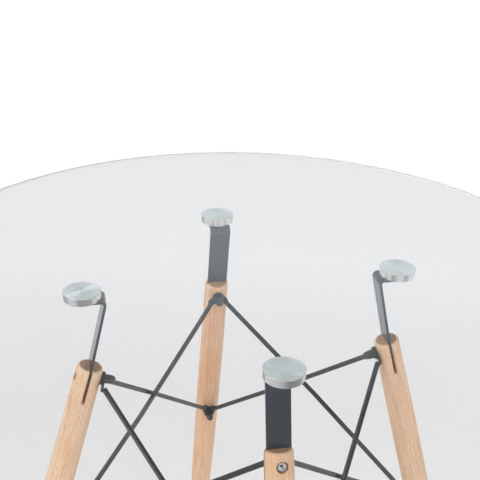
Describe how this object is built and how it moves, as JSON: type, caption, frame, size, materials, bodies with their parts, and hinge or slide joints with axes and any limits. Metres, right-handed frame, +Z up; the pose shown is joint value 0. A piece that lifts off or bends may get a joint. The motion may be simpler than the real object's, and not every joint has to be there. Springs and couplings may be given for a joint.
{
  "type": "round glass table",
  "caption": "Round table with a clear glass top bonded to metal discs, carried by bent flat straps in splayed turned wooden legs that are braced by crossed dark rods.",
  "frame": {"origin": "on the floor under the middle of the glass", "axes": "+Z up, legs on the diagonals between X and Y, front towards -Y"},
  "size_m": [0.7999, 0.8, 0.75],
  "materials": {
    "clear_glass": "clear, with a ground and polished edge",
    "disc_steel": "turned on the face, brushed on the side",
    "strap_black": "black, smooth and glossy",
    "beech": "pale beech with a clear satin lacquer",
    "bolt_steel": "bright plated",
    "nut_black": "black, semi-gloss",
    "rod_black": "black powder coat, semi-gloss",
    "glide_plastic": "moulded, dark",
    "nail_steel": "plain zinc"
  },
  "bodies": {
    "root": {"glass_top": "clear_glass", "disc_back_right": "disc_steel", "strap_back_right": "strap_black", "leg_back_right": "beech", "foot_glide_back_right": "glide_plastic", "disc_back_left": "disc_steel", "strap_back_left": "strap_black", "leg_back_left": "beech", "foot_glide_back_left": "glide_plastic", "disc_front_left": "disc_steel", "strap_front_left": "strap_black", "leg_front_left": "beech", "foot_glide_front_left": "glide_plastic", "disc_front_right": "disc_steel", "strap_front_right": "strap_black", "leg_front_right": "beech", "foot_glide_front_right": "glide_plastic", "leg_bolts_upper": "bolt_steel", "cap_nuts_upper": "nut_black", "leg_bolts_lower": "bolt_steel", "cap_nuts_lower": "nut_black", "disc_screws": "bolt_steel", "glide_nails": "nail_steel", "brace_front_inner": "rod_black", "brace_front_outer": "rod_black", "brace_right_inner": "rod_black", "brace_right_outer": "rod_black", "brace_back_inner": "rod_black", "brace_back_outer": "rod_black", "brace_left_inner": "rod_black", "brace_left_outer": "rod_black"}
  },
  "joints": []
}
